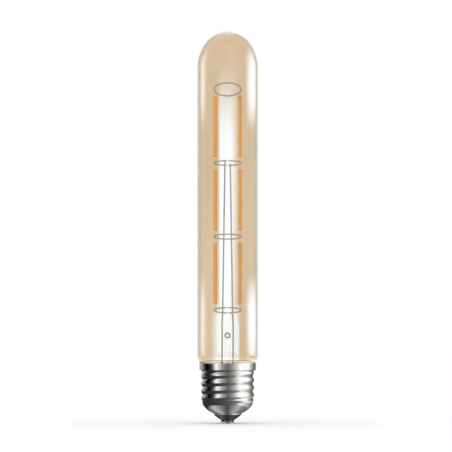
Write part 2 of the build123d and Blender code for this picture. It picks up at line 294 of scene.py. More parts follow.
# grey tints, a painted shade for the dark ring that the thick glass bead shows
paintedShade = {"thin": (0.42, 0.43, 0.44), "thick": (0.3, 0.31, 0.32), "rough": 0.02, "ior": 1.2}


def paintedShadeGlass():  # the bead of glass where the stem was blown open, tinted grey as a painted shade for its dark look
    material, g = startMaterial("smoked glass")
    flow = noise(g, objectPlace(g), scale=500, detail=2)
    finishMaterial(g, {
        "Base Color": flow.step(0.2, 0.8).blend(paintedShade["thin"], paintedShade["thick"]),
        "Roughness": paintedShade["rough"],
        "IOR": paintedShade["ior"],
        "Transmission Weight": 1.0,
    }, flow, strength=0.08)
    return material


nickel = {"bright": (0.72, 0.705, 0.685), "dull": (0.6, 0.585, 0.56), "smooth": 0.1, "worn": 0.24}


def nickelPlate():
    material, g = startMaterial("nickel plate")
    place = objectPlace(g)
    streak = noise(g, place, scale=700, detail=4, stretch=(0.04, 0.04, 1))
    stain = noise(g, place, scale=160, detail=5, roughness=0.65)
    dull = stain.step(0.45, 0.75)
    finishMaterial(g, {
        "Base Color": dull.blend(nickel["bright"], nickel["dull"]),
        "Metallic": 1.0,
        "Roughness": nickel["smooth"] + dull * (nickel["worn"] - nickel["smooth"]) + streak * 0.05,
    }, streak, strength=0.05, distance=0.05 * mm)
    return material


black = {"deep": (0.02, 0.02, 0.021), "flowed": (0.05, 0.047, 0.045), "smooth": 0.16, "ior": 1.6}


def blackGlass():
    material, g = startMaterial("black glass")
    place = objectPlace(g)
    flow = noise(g, place, scale=220, detail=4, stretch=(1, 1, 2.5))
    pits = noise(g, place, scale=1500, detail=2)
    finishMaterial(g, {
        "Base Color": flow.step(0.35, 0.75).blend(black["deep"], black["flowed"]),
        "Roughness": black["smooth"] + flow * 0.18,
        "IOR": black["ior"],
    }, pits + flow, strength=0.15, distance=0.05 * mm)
    return material


# dark plate tones: the stains between them are real, and the overall darkness is a painted shade for the
# shadow at the foot of the cap
contact = {
    "bright": (0.36, 0.33, 0.27), "stained": (0.25, 0.22, 0.18), "smooth": 0.22,
    "marks": 22000,  # the waves of its turning marks, in radians to a metre
}


def contactPlateWithPaintedShade():
    material, g = startMaterial("contact plate")
    place = objectPlace(g)
    split = g.node("SeparateXYZ", None, {0: place}, "X")
    flat = g.node("CombineXYZ", None, {"X": split, "Y": split.other("Y"), "Z": 0.0})
    away = g.node("VectorMath", {"operation": "LENGTH"}, {0: flat}, "Value")
    marks = g.sum("SINE", away * contact["marks"])
    stain = noise(g, place, scale=400, detail=4)
    finishMaterial(g, {
        "Base Color": stain.step(0.35, 0.7).blend(contact["bright"], contact["stained"]),
        "Metallic": 1.0,
        "Roughness": contact["smooth"] + stain * 0.2,
    }, marks, strength=0.12, distance=0.02 * mm)
    return material


tin = {"bright": (0.8, 0.8, 0.81), "frosted": (0.62, 0.62, 0.63), "smooth": 0.12}


def tinSolder():
    material, g = startMaterial("tin solder")
    frost = noise(g, objectPlace(g), scale=1800, detail=4, roughness=0.6)
    finishMaterial(g, {
        "Base Color": frost.step(0.3, 0.7).blend(tin["bright"], tin["frosted"]),
        "Metallic": 1.0,
        "Roughness": tin["smooth"] + frost * 0.25,
    }, frost, strength=0.15, distance=0.05 * mm)
    return material


drawn = {"bright": (0.62, 0.67, 0.75), "stained": (0.52, 0.57, 0.65), "smooth": 0.28}


def drawnWire():
    material, g = startMaterial("drawn wire")
    place = objectPlace(g)
    line = noise(g, place, scale=2600, detail=3, stretch=(1, 1, 0.03))
    stain = noise(g, place, scale=300, detail=4, stretch=(1, 1, 0.5))
    finishMaterial(g, {
        "Base Color": stain.step(0.35, 0.7).blend(drawn["bright"], drawn["stained"]),
        "Metallic": 1.0,
        "Roughness": drawn["smooth"] + line * 0.12,
    }, line, strength=0.12, distance=0.02 * mm)
    return material


coat = {
    "orange": (1.0, 0.54, 0.16), "deep": (0.94, 0.44, 0.1), "smooth": 0.42, "gloss": 0.25,
    "chipPitch": 1.05 * mm,
}


def phosphorCoat():
    material, g = startMaterial("phosphor coat")
    place = objectPlace(g)
    along = g.node("SeparateXYZ", None, {0: place}, "Z")
    chips = g.sum("SINE", along * (fullTurn / coat["chipPitch"])) * 0.5 + 0.5
    grain = noise(g, place, scale=2500, detail=3)
    deep = chips.step(0.55, 1.0) * 0.35 + grain * 0.4
    finishMaterial(g, {
        "Base Color": deep.blend(coat["orange"], coat["deep"]),
        "Roughness": coat["smooth"] + grain * 0.2,
        "Specular IOR Level": coat["gloss"],
    }, grain, strength=0.1, distance=0.03 * mm)
    return material


speckles = {  # plain finishes, each with its own grain
    "tab": {
        "name": "plated strip", "pale": (0.88, 0.87, 0.85), "dark": (0.78, 0.77, 0.75),
        "scale": 1500, "smooth": 0.3, "bump": 0.05, "metal": 1.0,
    },
    "cement": {
        "name": "cement", "pale": (0.95, 0.93, 0.88), "dark": (0.86, 0.83, 0.76),
        "scale": 900, "smooth": 0.75, "bump": 0.4,
    },
    "ceramic_strip": {
        "name": "white ceramic", "pale": (0.9, 0.89, 0.86), "dark": (0.82, 0.81, 0.77),
        "scale": 1400, "smooth": 0.5, "bump": 0.1,
    },
    "circuit_board": {
        "name": "solder resist", "pale": (0.05, 0.2, 0.09), "dark": (0.03, 0.14, 0.06),
        "scale": 500, "smooth": 0.35, "bump": 0.1,
    },
    "capacitor_can": {
        "name": "can sleeve", "pale": (0.09, 0.09, 0.11), "dark": (0.05, 0.05, 0.06),
        "scale": 700, "smooth": 0.35, "bump": 0.05,
    },
    "component_plastic": {
        "name": "moulded epoxy", "pale": (0.03, 0.03, 0.03), "dark": (0.018, 0.018, 0.018),
        "scale": 1600, "smooth": 0.55, "bump": 0.2,
    },
    "resistor_body": {
        "name": "dipped lacquer", "pale": (0.32, 0.45, 0.52), "dark": (0.25, 0.37, 0.44),
        "scale": 900, "smooth": 0.3, "bump": 0.05,
    },
}


def speckled(name, pale, dark, scale, smooth, bump, metal=0.0):
    material, g = startMaterial(name)
    grain = noise(g, objectPlace(g), scale, detail=5, roughness=0.6)
    finishMaterial(g, {
        "Base Color": grain.step(0.3, 0.7).blend(pale, dark),
        "Metallic": metal,
        "Roughness": smooth + grain * 0.2,
    }, grain, strength=bump, distance=0.05 * mm)
    return material


finishes = {
    "amber_glass": amberGlass(),
    "clear_glass": clearGlass(),
    "cap_metal": nickelPlate(),
    "black_insulator": blackGlass(),
    "contact_metal": contactPlateWithPaintedShade(),
    "solder": tinSolder(),
    "wire_metal": drawnWire(),
    "phosphor_coat": phosphorCoat(),
    "blow_rim": paintedShadeGlass(),
    **{slot: speckled(**speckle) for slot, speckle in speckles.items()},
}
print("finishes made:", len(finishes))


# Glass envelope

envelope = {
    "wall": 0.8 * mm,
    "domeHeight": 17.7 * mm,
    "crownStep": 1.35 * mm,  # the crown's radius is this much less than the tube's
    "shoulderRadius": 5 * mm,
    "shoulderTop": 33.01 * mm,
    "shoulderTurn": 50,
    "straightEnd": 1 * mm,  # a short run that keeps the tube's shading straight down to its shoulder
    "neckRadius": 11.225 * mm,
    "crownSteps": 28,
    "domeSideSteps": 24,
    "shoulderSteps": 14,
    "tubeRuns": 4,
    "columns": 192,
}


def shoulderEnd(inset):  # where the shoulder's arc ends and the cone to the neck starts
    bend, slope = envelope["shoulderRadius"], math.radians(envelope["shoulderTurn"])
    centreX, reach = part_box("glass_bulb")[1].x - bend, bend - inset
    return centreX + reach * math.cos(slope), envelope["shoulderTop"] - reach * math.sin(slope)


def glassEnvelope():
    low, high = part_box("glass_bulb")
    radius, top = high.x, high.z
    wall, neck, turn = envelope["wall"], envelope["neckRadius"], envelope["shoulderTurn"]
    crown = radius - envelope["crownStep"]
    domeFoot = top - envelope["domeHeight"]
    crownZ = top - crown
    lift = crownZ - domeFoot
    domeSide = (radius**2 + lift**2 - crown**2) / (2 * envelope["crownStep"])  # joins the crown to the tube
    sideX = radius - domeSide
    sideTurn = math.degrees(math.atan2(lift, domeSide - radius))
    shoulderX, shoulderZ = radius - envelope["shoulderRadius"], envelope["shoulderTop"]
    tubeEnd = shoulderZ + envelope["straightEnd"]
    footX, footZ = shoulderEnd(0)
    neckTop = footZ - (footX - neck)
    section = Outline(0, top).arc(0, crownZ, sideTurn - 90, envelope["crownSteps"])
    section.arc(sideX, domeFoot, -sideTurn, envelope["domeSideSteps"])
    section.line(radius, tubeEnd, envelope["tubeRuns"]).line(radius, shoulderZ)
    section.arc(shoulderX, shoulderZ, -turn, envelope["shoulderSteps"])
    section.line(neck, neckTop, runs=2).line(neck, low.z, runs=2)
    section.line(neck - wall, low.z).line(neck - wall, neckTop, runs=2)
    section.line(*shoulderEnd(wall), runs=2)
    section.arc(shoulderX, shoulderZ, turn, envelope["shoulderSteps"])
    section.line(radius - wall, tubeEnd).line(radius - wall, domeFoot, envelope["tubeRuns"])
    section.arc(sideX, domeFoot, sideTurn, envelope["domeSideSteps"])
    section.arc(0, crownZ, 90 - sideTurn, envelope["crownSteps"])
    bm = section.turned(envelope["columns"])
    obj = addPiece("glass_envelope", bm, "amber_glass", ["glass_bulb"], sharp=60)
    obj.visible_shadow = False  # lamps reach what the glass holds


glassEnvelope()
print("glass envelope turned")


# Screw shell

cap = {
    "wall": 0.3 * mm,
    "threadRadius": 12.675 * mm,  # halfway between crests and roots
    "threadZ": (9.4 * mm, 25.6 * mm),
    "runOut": (11.4 * mm, 12.6 * mm),  # heights between which the thread dies away below
    "pitch": 3.629 * mm,
    "knuckle": 1.35 * mm,  # radius of the thread's crests and roots
    "crestZ": 21.2 * mm,  # height of a crest on the +X side
    "fade": (1.5 * mm, 0.15 * mm),  # the thread dies away from below its upper end to above it
    "sink": 0.4 * mm,  # the bowl starts this far inside the thread's middle
    "sinkRise": 2.5 * mm,
    "mouth": 6.8 * mm,
    "lip": 0.6 * mm,
    "bowlBulge": 0.6 * mm,
    "skirt": 3.4 * mm,
    "edge": 0.25 * mm,
    "rootGap": 0.15 * mm,  # between the thread's roots and the cement
    "glassGap": 0.02 * mm,  # keeps the cement's facets clear of the glass
    "rowsPerPitch": 22,
    "columns": 180,
}


def knuckleWave(along):  # height of the thread over its middle, with along in pitches from a crest
    quarter = cap["pitch"] / 4
    deep = cap["knuckle"] - math.sqrt(cap["knuckle"] ** 2 - quarter**2)
    way = abs(along) * cap["pitch"]
    sign = 1 if way <= quarter else -1
    off = way if way <= quarter else 2 * quarter - way
    return sign * (math.sqrt(cap["knuckle"] ** 2 - off**2) - cap["knuckle"] + deep)


def screwShell():
    low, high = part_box("screw_shell")
    middle, (threadLow, threadHigh) = cap["threadRadius"], cap["threadZ"]
    rows = round((threadHigh - threadLow) / cap["pitch"] * cap["rowsPerPitch"])
    rim, edge = high.x, cap["edge"]
    skirtFoot = high.z - cap["skirt"]
    section = Outline(cap["mouth"], low.z).line(cap["mouth"], low.z + cap["lip"], runs=2)
    section.bow(middle - cap["sink"], threadLow, cap["bowlBulge"], steps=16)
    section.line(middle, threadLow + cap["sinkRise"], runs=12).line(middle, threadHigh, rows)
    section.line(rim - edge, skirtFoot - edge / 2, runs=4)
    section.arc(rim - edge, skirtFoot + edge / 2, 90, steps=5)
    section.line(rim, high.z - edge / 5, runs=6).line(rim, high.z)
    bm = section.turned(cap["columns"])
    below, above = cap["fade"]
    for vert in bm.verts:
        z = vert.co.z
        window = smoothStep(*cap["runOut"], z) * (1 - smoothStep(threadHigh - below, threadHigh + above, z))
        if window > 0:
            phase = (z - cap["crestZ"]) / cap["pitch"] - math.atan2(vert.co.y, vert.co.x) / fullTurn
            across = vert.co.xy.length
            vert.co.xy *= (across + window * knuckleWave(phase - round(phase))) / across
    # An open sheet can come out inside out
    if sum(face.normal.dot(Vector((*face.calc_center_median().xy, 0))) for face in bm.faces) < 0:
        bmesh.ops.reverse_faces(bm, faces=bm.faces[:])
    obj = addPiece("threaded_shell", bm, "cap_metal", ["screw_shell"], sharp=50)
    sheet = obj.modifiers.new("sheet", "SOLIDIFY")
    sheet.thickness = cap["wall"]
    sheet.offset = -1


def cementRing():  # fills the shell inside the thread's roots, and shows as a rim round the glass
    low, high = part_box("basing_cement")
    neck, edge = envelope["neckRadius"] + cap["glassGap"], cap["edge"]
    footX, footZ = shoulderEnd(-cap["glassGap"])
    roots = cap["threadRadius"] - knuckleWave(0) - cap["wall"] - cap["rootGap"]
    skirtFoot = high.z - cap["skirt"]
    section = Outline(neck, low.z).line(roots - edge, low.z, runs=3)
    section.arc(roots - edge, low.z + edge, 90, steps=4)
    section.line(roots, skirtFoot - edge, runs=6).line(high.x, skirtFoot + 2 * edge, runs=2)
    section.line(high.x, high.z, runs=3).line(footX, high.z, runs=2).line(footX, footZ)
    section.line(neck, footZ - (footX - neck), runs=3)
    bm = section.close().turned(envelope["columns"])
    return addPiece("cement_ring", bm, "cement", ["basing_cement"])


screwShell()
cement = cementRing()
print("threaded shell rolled")


# Insulator, contact and solder

button = {
    "end": 3.5 * mm, "edge": 0.3 * mm, "edgeTurn": 38, "bulge": 0.12 * mm, "neck": 6.48 * mm,
    "mouth": 6.76 * mm, "mouthZ": 4.3 * mm, "neckZ": 5.06 * mm, "headZ": 6.27 * mm, "bore": 0.97 * mm,
    "columns": 120,
}
plate = {"edge": 0.45 * mm, "dish": 0.15 * mm, "dishAt": 2 * mm, "columns": 96}
drop = {
    "lobes": ((2, 0.07, 0.6), (3, 0.05, 2.1), (5, 0.03, 4.0)),  # count, size and start of the waves round it
    "seat": 0.8, "sunk": 0.3,  # parts of its width and height that lie inside the contact
    "columns": 64,
}


def insulatorButton():
    low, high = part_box("insulator")
    edge = button["edge"]
    section = Outline(button["bore"], low.z).line(button["end"] - edge, low.z, runs=3)
    section.arc(button["end"] - edge, low.z + edge, button["edgeTurn"], steps=5)
    section.bow(button["mouth"], button["mouthZ"], button["bulge"], steps=10)
    section.line(button["neck"], button["mouthZ"]).line(button["neck"], button["neckZ"])
    section.line(high.x, button["headZ"], runs=2).line(high.x, high.z)
    section.line(button["bore"], high.z, runs=3).close()
    addPiece("insulator_button", section.turned(button["columns"]), "black_insulator", ["insulator"])


def contactDisc():
    low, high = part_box("centre_contact")
    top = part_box("insulator")[0].z
    edge, dishZ = plate["edge"], low.z + plate["dish"]
    section = Outline(0, dishZ).line(plate["dishAt"] / 2, dishZ, runs=2)
    section.line(plate["dishAt"], low.z, runs=2).line(high.x - edge, low.z, runs=3)
    section.arc(high.x - edge, low.z + edge, 90, steps=6).line(high.x, top - edge)
    section.arc(high.x - edge, top - edge, 90, steps=4).line(0, top, runs=3)
    addPiece("contact_disc", section.turned(plate["columns"]), "contact_metal", ["centre_contact"])


def solderDrop():
    low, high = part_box("contact_solder")
    height, reach = high.z - low.z, high.x
    bend = (reach**2 + height**2) / (2 * height)
    top = high.z + height * drop["sunk"]
    section = Outline(0, low.z).arc(0, low.z + bend, math.degrees(math.asin(reach / bend)), steps=10)
    section.line(reach * drop["seat"], top, runs=2).line(0, top, runs=2)
    bm = section.turned(drop["columns"])
    for vert in bm.verts:
        angle = math.atan2(vert.co.y, vert.co.x)
        vert.co.xy *= 1 + sum(size * math.sin(count * angle + start) for count, size, start in drop["lobes"])
    addPiece("solder_drop", bm, "solder", ["contact_solder"])


insulatorButton()
contactDisc()
solderDrop()
print("insulator, contact and solder made")


# Glass stem

stem = {
    "tube": 5.4 * mm, "wall": 1 * mm, "pinchX": 5.6 * mm, "pinchY": 1.8 * mm, "square": 0.42,
    "pressFoot": 35.5 * mm, "pinchFoot": 39 * mm, "presses": 8, "round": 0.9 * mm, "roundSteps": 5,
    "neck": 11.2 * mm, "flare": 10.43 * mm, "flareZ": 15.6 * mm, "flareTop": 20.6 * mm, "flareBow": 1.2 * mm,
    "exhaust": 2.2 * mm, "bore": 1.4 * mm, "tip": 18.6 * mm,
    "hole": 0.65 * mm, "holeZ": 43 * mm, "holeLength": 4.5 * mm, "rim": 1.15 * mm, "rimBead": 0.36 * mm,
    "columns": 80, "boreColumns": 40, "sharp": 75,
}


def ringLoop(bm, loop, shape):  # extrudes the last loop of edges and lays it on a new outline
    grown = bmesh.ops.extrude_edge_only(bm, edges=loop)["geom"]
    for vert in (g for g in grown if isinstance(g, bmesh.types.BMVert)):
        vert.co = shape(math.atan2(vert.co.y, vert.co.x))
    return [g for g in grown if isinstance(g, bmesh.types.BMEdge) and all(v in grown for v in g.verts)]


def pressed(z, part, shrink=0.0):  # the tube's outline at a height, pressed by part into the flat pinch
    def shape(angle):
        circle = Vector((math.cos(angle), math.sin(angle)))
        flat = Vector([math.copysign(abs(c) ** stem["square"], c) for c in circle])
        flat.x *= stem["pinchX"] - shrink
        flat.y *= stem["pinchY"] - shrink
        return Vector((*(circle * stem["tube"]).lerp(flat, part), z))
    return shape


def carve(obj, tools):  # cuts each tool out of a piece, and drops the tool
    for bm in tools:
        tool = meshObject("tool", bm)
        cut = obj.modifiers.new("cut", "BOOLEAN")
        cut.operation = "DIFFERENCE"
        cut.object = tool
        bpy.context.view_layer.update()
        ready = bpy.context.evaluated_depsgraph_get()
        carved = bpy.data.meshes.new_from_object(obj.evaluated_get(ready))
        obj.modifiers.clear()
        obj.data = carved
        mesh = tool.data
        bpy.data.objects.remove(tool)
        bpy.data.meshes.remove(mesh)


def blowHole():
    bm = bmesh.new()
    lay = Matrix.Translation((0, 0, stem["holeZ"])) @ Matrix.Rotation(math.pi / 2, 4, "X")
    bmesh.ops.create_cone(
        bm, cap_ends=True, segments=stem["boreColumns"], radius1=stem["hole"], radius2=stem["hole"],
        depth=stem["holeLength"], matrix=lay,
    )
    return bm


def exhaustBore():
    bore, foot, top = stem["bore"], stem["tip"] + stem["exhaust"], stem["holeZ"] - stem["bore"]
    section = Outline(0, foot).arc(0, foot + bore, 90, steps=6)
    section.line(bore, top, runs=2).arc(0, top, 90, steps=6)
    return section.turned(stem["boreColumns"])


def pressedStem():
    low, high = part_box("glass_stem")
    tube, wall, bend, exhaust = stem["tube"], stem["wall"], stem["round"], stem["exhaust"]
    pressFoot, flare, flareBow = stem["pressFoot"], stem["flare"], stem["flareBow"]
    section = Outline(0, stem["tip"]).arc(0, stem["tip"] + exhaust, 90, steps=8)
    section.line(exhaust, pressFoot - 2 * wall, runs=2)
    section.arc((tube - wall + exhaust) / 2, pressFoot - 2 * wall, -180, steps=10)
    section.line(tube - wall, stem["flareTop"] - wall, runs=2)
    section.bow(flare, low.z + wall / 2, -flareBow, steps=10).line(flare, low.z)
    section.line(stem["neck"], low.z).line(stem["neck"], stem["flareZ"])
    section.line(flare, stem["flareZ"]).bow(tube, stem["flareTop"], flareBow, steps=10)
    section.line(tube, pressFoot, runs=3)
    bm = section.turned(stem["columns"])
    loop = [edge for edge in bm.edges if edge.is_boundary]
    for count in range(1, stem["presses"] + 1):
        part = count / stem["presses"]
        z = pressFoot + part * (stem["pinchFoot"] - pressFoot)
        loop = ringLoop(bm, loop, pressed(z, smoothStep(0, 1, part)))
    for count in range(1, stem["roundSteps"] + 1):
        turn = count / stem["roundSteps"] * math.pi / 2
        z = high.z - bend * (1 - math.sin(turn))
        loop = ringLoop(bm, loop, pressed(z, 1, bend * (1 - math.cos(turn))))
    bmesh.ops.holes_fill(bm, edges=loop)
    bmesh.ops.recalc_face_normals(bm, faces=bm.faces[:])
    obj = addPiece("pressed_stem", bm, "clear_glass", ["glass_stem"], stem["sharp"])
    obj.visible_shadow = False
    carve(obj, [blowHole(), exhaustBore()])
    smoothed(obj.data, stem["sharp"])


def blowRims():  # a bead of glass round the hole, on both faces of the pinch
    for name, sign in (("front", -1), ("back", 1)):
        centre = Vector((0, sign * stem["pinchY"], stem["holeZ"]))
        bm = wireRing(centre, Vector((1, 0, 0)), Vector((0, 0, 1)), stem["rim"], 2 * stem["rimBead"])
        # the bead takes the grey glass finish, whose tint is a painted shade
        addPiece("blow_rim_" + name, bm, "clear_glass", finish="blow_rim").visible_shadow = False


pressedStem()
blowRims()
print("stem pressed")


# Lead wires and rings

mount = {
    "ring": 6.6 * mm, "ringWire": 0.7 * mm, "tilts": (10.5, 10.5, 10.5, 30), "gap": 0.7 * mm,
    "ringFoot": 55.3 * mm, "ringPitch": 36 * mm,
    "lead": 0.39 * mm, "leadFoot": Vector((3.4, 0, 8.4)) * mm, "rise": 3 * mm, "bend": 0.8 * mm,
    "seal": 2.7 * mm, "sealLow": 33.7 * mm, "sealHigh": 49.8 * mm,
    "weld": 5.861 * mm, "weldTurns": (24, 13), "weldRun": 1.8 * mm, "tail": 0.6 * mm, "bow": 4.2 * mm,
    "bead": Vector((0.3, 0.3, 0.9)) * mm, "beadAt": 6.4 * mm, "beadColumns": 18, "beadRows": 12,
}
ringNames = ("bottom_feed_ring", "lower_link_ring", "upper_feed_ring", "top_link_ring")
splitRings = ("bottom_feed_ring", "upper_feed_ring")


def ringFrame(level):  # a ring's centre and its two axes, the second one rising to the back
    tilt = math.radians(mount["tilts"][level])
    centre = Vector((0, 0, mount["ringFoot"] + level * mount["ringPitch"]))
    return centre, Vector((1, 0, 0)), Vector((0, math.cos(tilt), math.sin(tilt)))


def weldPoint(level, turn, sign):
    centre, right, back = ringFrame(level)
    angle = math.radians(turn)
    return centre + sign * mount["weld"] * (right * math.sin(angle) - back * math.cos(angle))


def leadRoute(sign):
    up = Vector((0, 0, 1))
    foot = Vector((sign * mount["leadFoot"].x, 0, mount["leadFoot"].z))
    low = weldPoint(0, mount["weldTurns"][0], sign)
    high = weldPoint(2, mount["weldTurns"][1], sign)
    passing = (low + high) / 2
    return [
        foot, foot + up * mount["rise"],
        Vector((sign * mount["seal"], 0, mount["sealLow"])),
        Vector((sign * mount["seal"], 0, mount["sealHigh"])),
        low - up * mount["weldRun"], low + up * mount["weldRun"],
        Vector((passing.x, -sign * mount["bow"], passing.z)),
        high - up * mount["weldRun"], high + up * mount["tail"],
    ]


def wirePiece(name, route, radius, replaced):  # a round wire whose bends keep close to the route's corners
    curve = bpy.data.curves.new(name, "CURVE")
    curve.dimensions = "3D"
    curve.bevel_depth = radius
    curve.bevel_resolution = wire["bevelSteps"]
    curve.resolution_u = wire["bendSteps"]
    curve.use_fill_caps = True
    points = [route[0]]
    for before, corner, after in zip(route, route[1:], route[2:]):
        points += [corner + (before - corner).normalized() * mount["bend"], corner]
        points.append(corner + (after - corner).normalized() * mount["bend"])
    points.append(route[-1])
    spline = curve.splines.new("NURBS")
    spline.points.add(len(points) - 1)
    for point, place in zip(spline.points, points):
        point.co = (*place, 1)
    spline.order_u = 3
    spline.use_endpoint_u = True
    shaper = bpy.data.objects.new("shaper", curve)
    bpy.context.scene.collection.objects.link(shaper)
    bpy.context.view_layer.update()
    mesh = bpy.data.meshes.new_from_object(shaper.evaluated_get(bpy.context.evaluated_depsgraph_get()))
    bm = bmesh.new()
    bm.from_mesh(mesh)
    bpy.data.objects.remove(shaper)
    bpy.data.curves.remove(curve)
    bpy.data.meshes.remove(mesh)
    addPiece(name, mended(bm), "wire_metal", replaced, wire["sharp"])


def ringPiece(name, level, replaced, *arc):
    bm = wireRing(*ringFrame(level), mount["ring"], mount["ringWire"], *arc)
    addPiece(name, bm, "wire_metal", replaced, wire["sharp"])


def weldBead(name, level, sign):  # where a filament's tab is welded to a ring
    centre, right = ringFrame(level)[:2]
    lay = Matrix.Translation(centre + right * sign * mount["beadAt"]) @ Matrix.Diagonal((*mount["bead"], 1))
    bm = bmesh.new()
    bmesh.ops.create_uvsphere(
        bm, u_segments=mount["beadColumns"], v_segments=mount["beadRows"], radius=1, matrix=lay,
    )
    addPiece(name, bm, "wire_metal", finish="tab")


for side, sign in sides.items():
    wirePiece("lead_" + side, leadRoute(sign), mount["lead"], ["lead_wire_" + side])
    for level in range(len(ringNames)):
        weldBead(f"weld_{level}_{side}", level, sign)
opening = mount["gap"] / mount["ring"]  # angle between the halves of a split ring
for level, node in enumerate(ringNames):
    if node not in splitRings:
        ringPiece(f"ring_{level}", level, [node])
        continue
    for side, sign in sides.items():
        start = (opening - sign * math.pi) / 2
        ringPiece(f"ring_{level}_{side}", level, [f"{node}_{side}"], start, math.pi - opening)
print("leads and rings bent")


# Filaments

bar = {
    "edge": 0.5 * mm, "edgeSteps": 5, "runs": 40, "wave": 0.035 * mm, "waveLength": 3.1 * mm,
    "shift": 7,  # sets the waves of the left and right bars apart
}


def phosphorBar(tier, side):
    node = f"{tier}_{side}_phosphor"
    low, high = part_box(node)
    centre, size = (low + high) / 2, high - low
    bm = bmesh.new()
    bmesh.ops.create_cube(bm, size=1, matrix=Matrix.Translation(centre) @ Matrix.Diagonal((*size, 1)))
    bmesh.ops.bevel(
        bm, geom=bm.edges[:], offset=bar["edge"], offset_type="OFFSET", affect="EDGES",
        segments=bar["edgeSteps"], profile=0.5, material=-1,
    )
    tall = [e for e in bm.edges if abs(e.verts[0].co.z - e.verts[1].co.z) > size.z / 2]
    bmesh.ops.subdivide_edges(bm, edges=tall, cuts=bar["runs"], use_grid_fill=True)
    phase = centre.z + centre.x * bar["shift"]
    for vert in bm.verts:
        wave = 0.5 + 0.5 * math.sin((vert.co.z + phase) / bar["waveLength"] * fullTurn)
        swell = 1 - bar["wave"] / (size.x / 2) * wave
        vert.co.x = centre.x + (vert.co.x - centre.x) * swell
        vert.co.y = centre.y + (vert.co.y - centre.y) * swell
    bmesh.ops.recalc_face_normals(bm, faces=bm.faces[:])
    addPiece(f"{tier}_{side}_coat", bm, "phosphor_coat", [node])


for tier in tiers:
    for side in sides:
        phosphorBar(tier, side)
        dress(f"{tier}_{side}_strip", "ceramic_strip")
        for end in ("lower", "upper"):
            dress(f"{tier}_{side}_{end}_tab", "tab")
print("filaments coated")


# Driver

driverFinishes = {
    "driver_board": "circuit_board", "smoothing_capacitor": "capacitor_can",
    "bridge_rectifier": "component_plastic", "driver_chip": "component_plastic",
    "fuse_resistor": "resistor_body", "contact_wire": "wire_metal", "shell_wire": "wire_metal",
}
for node, finish in driverFinishes.items():
    dress(node, finish)
print("driver dressed")


# Studio

studio = {
    "floor": 3.0, "floorColour": (0.86, 0.86, 0.86), "floorGlow": 0.08, "soft": 1.08,
    "key": 6.6, "keyPlace": (-0.3, -1.0, 0.62), "keySize": 0.4, "lampAim": (0, 0, 0.1),
    "neckKey": 28, "neckColour": (0.55, 0.72, 1.0),
    "backKey": 5, "backPlace": (0.35, 1.0, 0.5),
    "distance": 3.0, "aimX": -0.78 * mm, "aimZ": 96.5 * mm, "view": 221 * mm, "sensor": 36, "clip": 0.01,
    "columns": 96, "cardStep": 3,  # of turned cards, and the degrees to a step of the curved ones
}

# Cards stand round the bulb for its reflections. Azimuth 0 is the front, and +90 the right
upperStrip = {"height": (145 * mm, 410 * mm), "softHeight": (24 * mm, 235 * mm), "radius": 0.32}
lowerStrip = {"height": (11 * mm, 73 * mm), "softHeight": (29 * mm, 22 * mm), "radius": 0.32}
leftStrip = {"azimuth": (-132, -82), "soft": (25, 24), "level": (5.2, 5.4, 6.2)}
rightStrip = {"azimuth": (66, 144), "soft": (28, 38), "level": (8.5, 9.6, 12)}
flag = {
    "soft": (6, 6), "height": (-50 * mm, 700 * mm), "softHeight": (5 * mm, 50 * mm), "radius": 0.5,
    "level": (0.76, 0.76, 0.76),
    "through": True,
}
cards = {
    "front_softbox": {
        "azimuth": (-40, 56), "soft": (4, 50), "radius": 0.3, "level": (3, 3, 3),
        "height": (12 * mm, 184 * mm), "softHeight": (12 * mm, 48 * mm),
    },
    "left_upper_strip": {**leftStrip, **upperStrip},
    "left_lower_strip": {**leftStrip, **lowerStrip},
    "right_upper_strip": {**rightStrip, **upperStrip},
    "right_lower_strip": {**rightStrip, **lowerStrip},
    "left_flag": {**flag, "azimuth": (-172, -128)},
    "right_flag": {**flag, "azimuth": (128, 172)},
}
backlight = {
    "behind": 0.1, "colour": (1.42, 1.95, 3.2),
    "windows": (  # a tall one, and a broader one behind the stem
        {
            "across": (-5.8 * mm, 7.9 * mm), "softSides": (1.1 * mm, 7 * mm),
            "height": (14 * mm, 183 * mm), "softEnds": (2 * mm, 44 * mm),
        },
        {
            "across": (-12.8 * mm, 8.6 * mm), "softSides": (8.8 * mm, 3.2 * mm),
            "height": (14 * mm, 62 * mm), "softEnds": (2 * mm, 14 * mm),
        },
    ),
}
# Bands give levels of light by azimuth
collar = {
    "bands": (
        (-180, 0.9), (-66, 0.9), (-50, 2), (-30, 4), (-10, 5.5), (12, 5.5), (27, 4), (41, 1.5), (52, 4.2),
        (66, 4.2), (88, 0.9), (180, 0.9),
    ),
    "rest": (0.9, 0.85, 0.75),
    "inner": (14.15 * mm, 29.95 * mm), "outer": (102 * mm, 29.4 * mm), "reach": (35 * mm, 60 * mm),
}
tent = {
    "radius": 100 * mm, "floorZ": 0.02 * mm, "wallTop": 29.2 * mm,
    "hoodRadius": 14.1 * mm, "hoodTop": 29.85 * mm,
    "shelfZ": 9.9 * mm, "shelfRadius": 13.2 * mm, "shelfReach": 18 * mm, "bowlReach": (15 * mm, 19 * mm),
    "bands": (
        (-180, 0.46), (-158, 0.6), (-123, 0.45), (-107, 0.12), (-95, 0), (-80, 0), (-60, 0.08),
        (-52, 0.75), (-44, 1.4), (-22, 0.48), (0, 0.17), (18, 0.4), (33, 0.85), (48, 1.45), (88, 1.45),
        (99, 0.9), (113, 0.42), (131, 0.14), (160, 0.25), (180, 0.46),
    ),
    "underBands": (
        (-180, 0.03), (-60, 0.04), (-27, 0.07), (0, 0.11), (30, 0.26), (37, 0.5), (50, 1.15), (64, 1.1),
        (85, 0.65), (132, 0.2), (180, 0.03),
    ),
    "bowlBands": (
        (-180, 0.09), (-100, 0.2), (-60, 0.72), (-25, 0.26), (0, 0.08), (28, 0.42), (46, 0.6), (74, 0.26),
        (180, 0.09),
    ),
}


